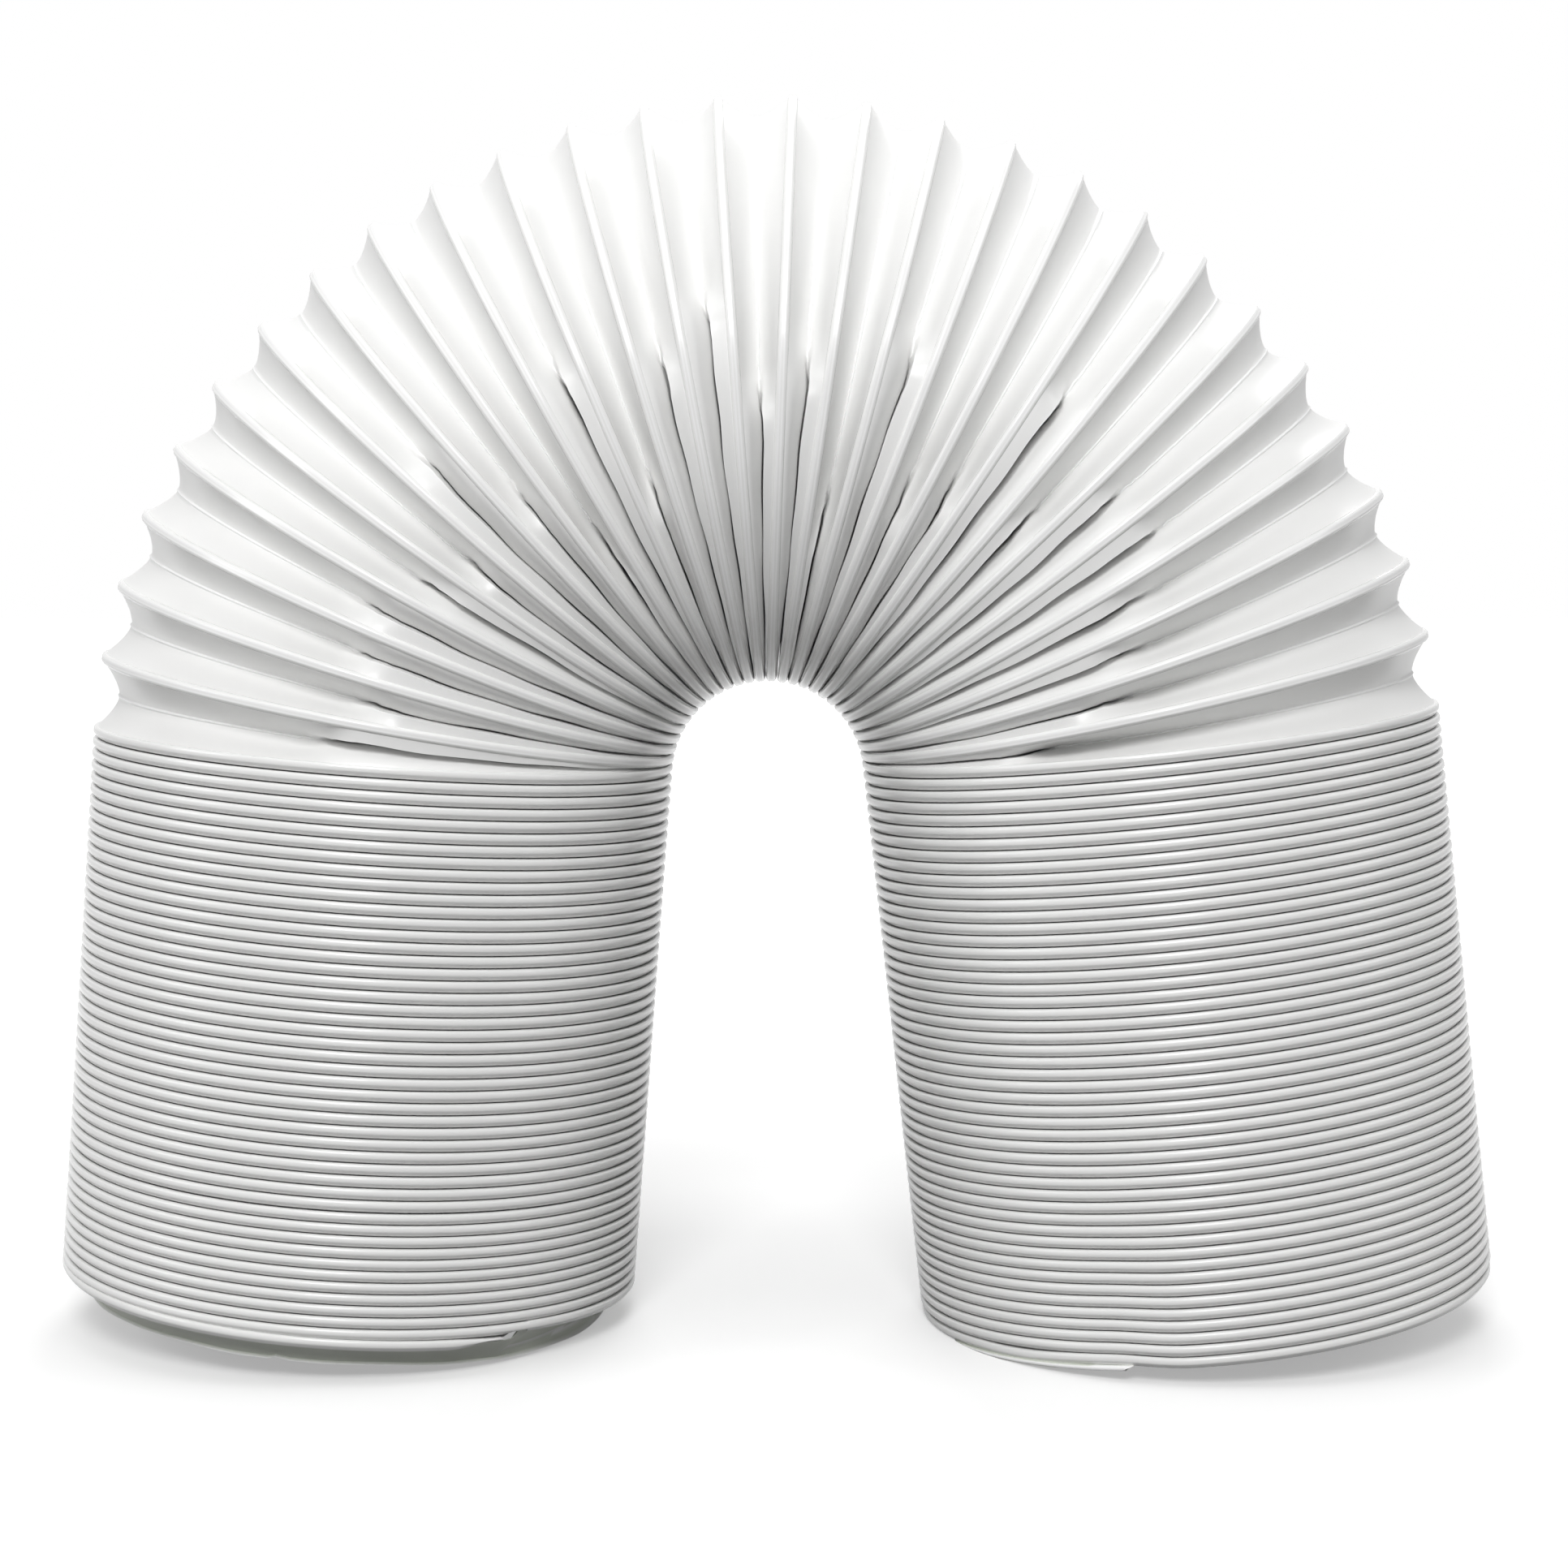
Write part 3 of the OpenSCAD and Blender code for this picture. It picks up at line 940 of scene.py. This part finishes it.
# How far in the right foot's last bead lies, in millimetres, and its bulge: depth, place and width in degrees
RIGHT_BEAD_IN = 0.35
BULGE, BULGE_AT, BULGE_WIDTH = 0.4 * MM, -45, 9
# Heights of the strip's cut end below the middle of the last bead
STRIP_TOP, STRIP_BOTTOM = 0.1 * MM, 1.3 * MM
# Its slanted cut, in degrees, how much thinner and narrower it gets along its length, and how far it climbs
STRIP_SLANT, STRIP_THINS, STRIP_WINDS_IN = 2.6, 0.5, 0.012
STRIP_CLIMB = 1 * MM


class DUCT_OT_right_foot(bpy.types.Operator):
    """Models the last bead of the right foot and the strip's cut end below it"""

    bl_idname = "duct.right_foot"
    bl_label = "Right foot"

    def execute(self, context):
        s = sizes()
        place = leg_place("right", sum(SECTION_BEADS["right"]) - 1 + RIGHT_MORE_TURNS)
        bead = ring_piece("right_last_bead", s.sides, shut_bead_profile())
        bpy.ops.object.mode_set(mode="OBJECT")
        co = vertices_of(bead)
        pressed_up(co, 1)
        co[:, :2] *= 1 - RIGHT_BEAD_IN / CREST_RADIUS
        # The last bead bulges down a little where it was pressed onto the strip's end
        co[:, 2] += BULGE * np.exp(-((degrees_round(co) - BULGE_AT) / BULGE_WIDTH) ** 2)
        set_vertices(bead, co)
        smoothed(bead)
        bead.data.transform(place)
        above_floor(bead)
        finished(bead, bead_material(), "right_end_bead")
        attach(bead, "right_bellows_4")

        crest, root = CREST_RADIUS * MM, root_radius()
        top, bottom = STRIP_TOP, STRIP_BOTTOM
        strip = ring_piece("right_strip", s.sides, [
            (root, top), (crest - 0.35 * MM, top), (crest - 0.05 * MM, top + 0.25 * MM),
            (crest, bottom - 0.4 * MM), (crest - 0.3 * MM, bottom), (root, bottom)])
        start = RIGHT_CUT + RIGHT_FRONT
        opened(strip, start + RIGHT_STRIP_ANGLE, start + 360)
        co = vertices_of(strip)
        wound = along_right_strip(co)
        share = np.clip(wound / RIGHT_STRIP_ANGLE, 0, 1)
        # The strip's end is cut slantwise, and winds back up behind the last bead
        slant = np.radians(STRIP_SLANT) * (co[:, 2] - top) / (bottom - top) * (wound < 1)
        co[:, 0], co[:, 1] = (co[:, 0] * np.cos(slant) - co[:, 1] * np.sin(slant),
                              co[:, 0] * np.sin(slant) + co[:, 1] * np.cos(slant))
        co[:, 2] = top + (co[:, 2] - top) * (1 - STRIP_THINS * share) - STRIP_CLIMB * share ** 2
        co[:, :2] *= (1 - STRIP_WINDS_IN * share)[:, None]
        set_vertices(strip, co)
        # The strip's outer edge is painted whiter, as a painted highlight
        point_value(strip, "whitening_and_painted_highlight", np.hypot(co[:, 0], co[:, 1]) > crest - 0.4 * MM)
        smoothed(strip)
        strip.data.transform(place)
        above_floor(strip)
        finished(strip, cut_edge_material(), "right_strip_end")
        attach(strip, "right_bellows_4")
        return {"FINISHED"}


# ---- The stage ----

# The camera's place, how many degrees it looks down, and its lens and sensor width in millimetres
CAMERA_PLACE = (0.002, -0.792, 0.208)
CAMERA_DOWN = 4.87
CAMERA_LENS, CAMERA_SENSOR = 69.65, 36
GROUND_SIZE = 12
# Distances from the middle of the ground over which it is lifted to white, and the lift at the nearer one
LIFT_FROM, LIFT_TO, LEAST_LIFT = 0.12, 0.6, 0.38
# Strength of the white world as a light on the duct; where it is seen, it is 1
WORLD_FILL = 0.05
# All lamps face this point; each has its place, size in metres and watts
LAMPS_FACE = (0, 0, 0.15)
LAMPS = {
    "overhead": ((0, -0.2, 1.6), 1.3, 7.5),
    "front": ((-0.1, -1.5, 1.15), 0.55, 20.2),
    "rear": ((0.1, 1.3, 1.2), 0.8, 8),
    "left": ((-1.5, -0.5, 0.9), 0.7, 6.2),
    "right": ((1.5, -0.35, 0.9), 0.7, 3.5),
}


def seen_directly(tree):
    """Output that is 1 for camera, glossy and transmission rays, and 0 for rays that light the duct."""
    rays = add_node(tree, "ShaderNodeLightPath").outputs
    first = add_node(tree, "ShaderNodeMath", {"operation": "MAXIMUM"},
                     {0: rays["Is Camera Ray"], 1: rays["Is Glossy Ray"]})
    both = add_node(tree, "ShaderNodeMath", {"operation": "MAXIMUM"},
                    {0: first.outputs[0], 1: rays["Is Transmission Ray"]})
    return both.outputs[0]


def area_light(name, place, size, watts):
    """A soft square lamp that faces the middle of the duct."""
    bpy.ops.object.light_add(type="AREA", location=place)
    lamp = bpy.context.object
    lamp.name = name
    lamp.data.shape = "SQUARE"
    lamp.data.size = size
    lamp.data.energy = watts
    lamp.rotation_euler = (Vector(LAMPS_FACE) - Vector(place)).to_track_quat("-Z", "Y").to_euler()


class DUCT_OT_stage(bpy.types.Operator):
    """Sets the camera, the soft lamps and a plain white ground"""

    bl_idname = "duct.stage"
    bl_label = "Stage"

    def execute(self, context):
        scene = context.scene
        scene.view_settings.view_transform = "Standard"
        bpy.ops.object.camera_add(location=CAMERA_PLACE, rotation=(math.radians(90 - CAMERA_DOWN), 0, 0))
        camera = context.object
        camera.data.lens = CAMERA_LENS
        camera.data.sensor_width = CAMERA_SENSOR
        scene.camera = camera

        bpy.ops.mesh.primitive_plane_add(size=GROUND_SIZE)
        ground = context.object
        ground.name = "ground"
        material = bpy.data.materials.new("white painted board")
        material.use_nodes = True
        tree = material.node_tree
        shader = tree.nodes["Principled BSDF"]
        shader.inputs["Roughness"].default_value = 0.7
        seen = seen_directly(tree)
        tone = add_node(tree, "ShaderNodeMix", {
            "data_type": "RGBA", MIX_A: (*colours().ground_bounce, 1), MIX_B: (*colours().ground, 1)},
            {MIX_FACTOR: seen})
        tree.links.new(tone.outputs[MIX_RESULT], shader.inputs["Base Color"])
        # The board is lifted to white where it is seen, least near the duct, so that its shadow stays
        place = add_node(tree, "ShaderNodeTexCoord").outputs["Object"]
        away = add_node(tree, "ShaderNodeVectorMath", {"operation": "LENGTH"}, {"Vector": place})
        fade = add_node(tree, "ShaderNodeMapRange", {
            "interpolation_type": "SMOOTHSTEP", "From Min": LIFT_FROM, "From Max": LIFT_TO,
            "To Min": LEAST_LIFT, "To Max": 1.0}, {"Value": away.outputs["Value"]})
        lift = add_node(tree, "ShaderNodeMath", {"operation": "MULTIPLY"},
                        {0: seen, 1: fade.outputs["Result"]})
        shader.inputs["Emission Color"].default_value = (1, 1, 1, 1)
        tree.links.new(lift.outputs[0], shader.inputs["Emission Strength"])
        ground.data.materials.append(material)

        world = scene.world or bpy.data.worlds.new("studio")
        scene.world = world
        world.use_nodes = True
        tree = world.node_tree
        tree.nodes.clear()
        backdrop = add_node(tree, "ShaderNodeBackground", {"Color": (1, 1, 1, 1), "Strength": 1.0})
        fill = add_node(tree, "ShaderNodeBackground", {"Color": (1, 1, 1, 1), "Strength": WORLD_FILL})
        mix = add_node(tree, "ShaderNodeMixShader", None,
                       {0: seen_directly(tree), 1: fill.outputs[0], 2: backdrop.outputs[0]})
        add_node(tree, "ShaderNodeOutputWorld", None, {"Surface": mix.outputs[0]})

        for name, (spot, size, watts) in LAMPS.items():
            area_light(name, spot, size, watts)
        return {"FINISHED"}


class DUCT_PT_panel(bpy.types.Panel):
    """Sizes, colours and pieces of the duct"""

    bl_label = "Flexible air duct"
    bl_idname = "DUCT_PT_panel"
    bl_space_type = "VIEW_3D"
    bl_region_type = "UI"
    bl_category = "Duct"

    def draw(self, context):
        for group in (context.scene.duct_sizes, context.scene.duct_colours):
            for name in group.__annotations__:
                self.layout.prop(group, name)
        for operator in OPERATORS:
            self.layout.operator(operator.bl_idname)


OPERATORS = (DUCT_OT_arch_beads, DUCT_OT_arch_webs, DUCT_OT_leg_bellows, DUCT_OT_leg_folds,
             DUCT_OT_left_foot, DUCT_OT_right_foot, DUCT_OT_stage)
CLASSES = (DuctSizes, DuctColours, *OPERATORS, DUCT_PT_panel)


def register():
    for cls in CLASSES:
        bpy.utils.register_class(cls)
    bpy.types.Scene.duct_sizes = bpy.props.PointerProperty(type=DuctSizes)
    bpy.types.Scene.duct_colours = bpy.props.PointerProperty(type=DuctColours)


def unregister():
    del bpy.types.Scene.duct_colours
    del bpy.types.Scene.duct_sizes
    for cls in reversed(CLASSES):
        bpy.utils.unregister_class(cls)


def main():
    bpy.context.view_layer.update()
    register()
    bpy.ops.duct.arch_beads()
    bpy.ops.duct.arch_webs()
    bpy.ops.duct.leg_bellows()
    bpy.ops.duct.leg_folds()
    bpy.ops.duct.left_foot()
    bpy.ops.duct.right_foot()
    bpy.ops.duct.stage()


if __name__ == "__main__":
    main()
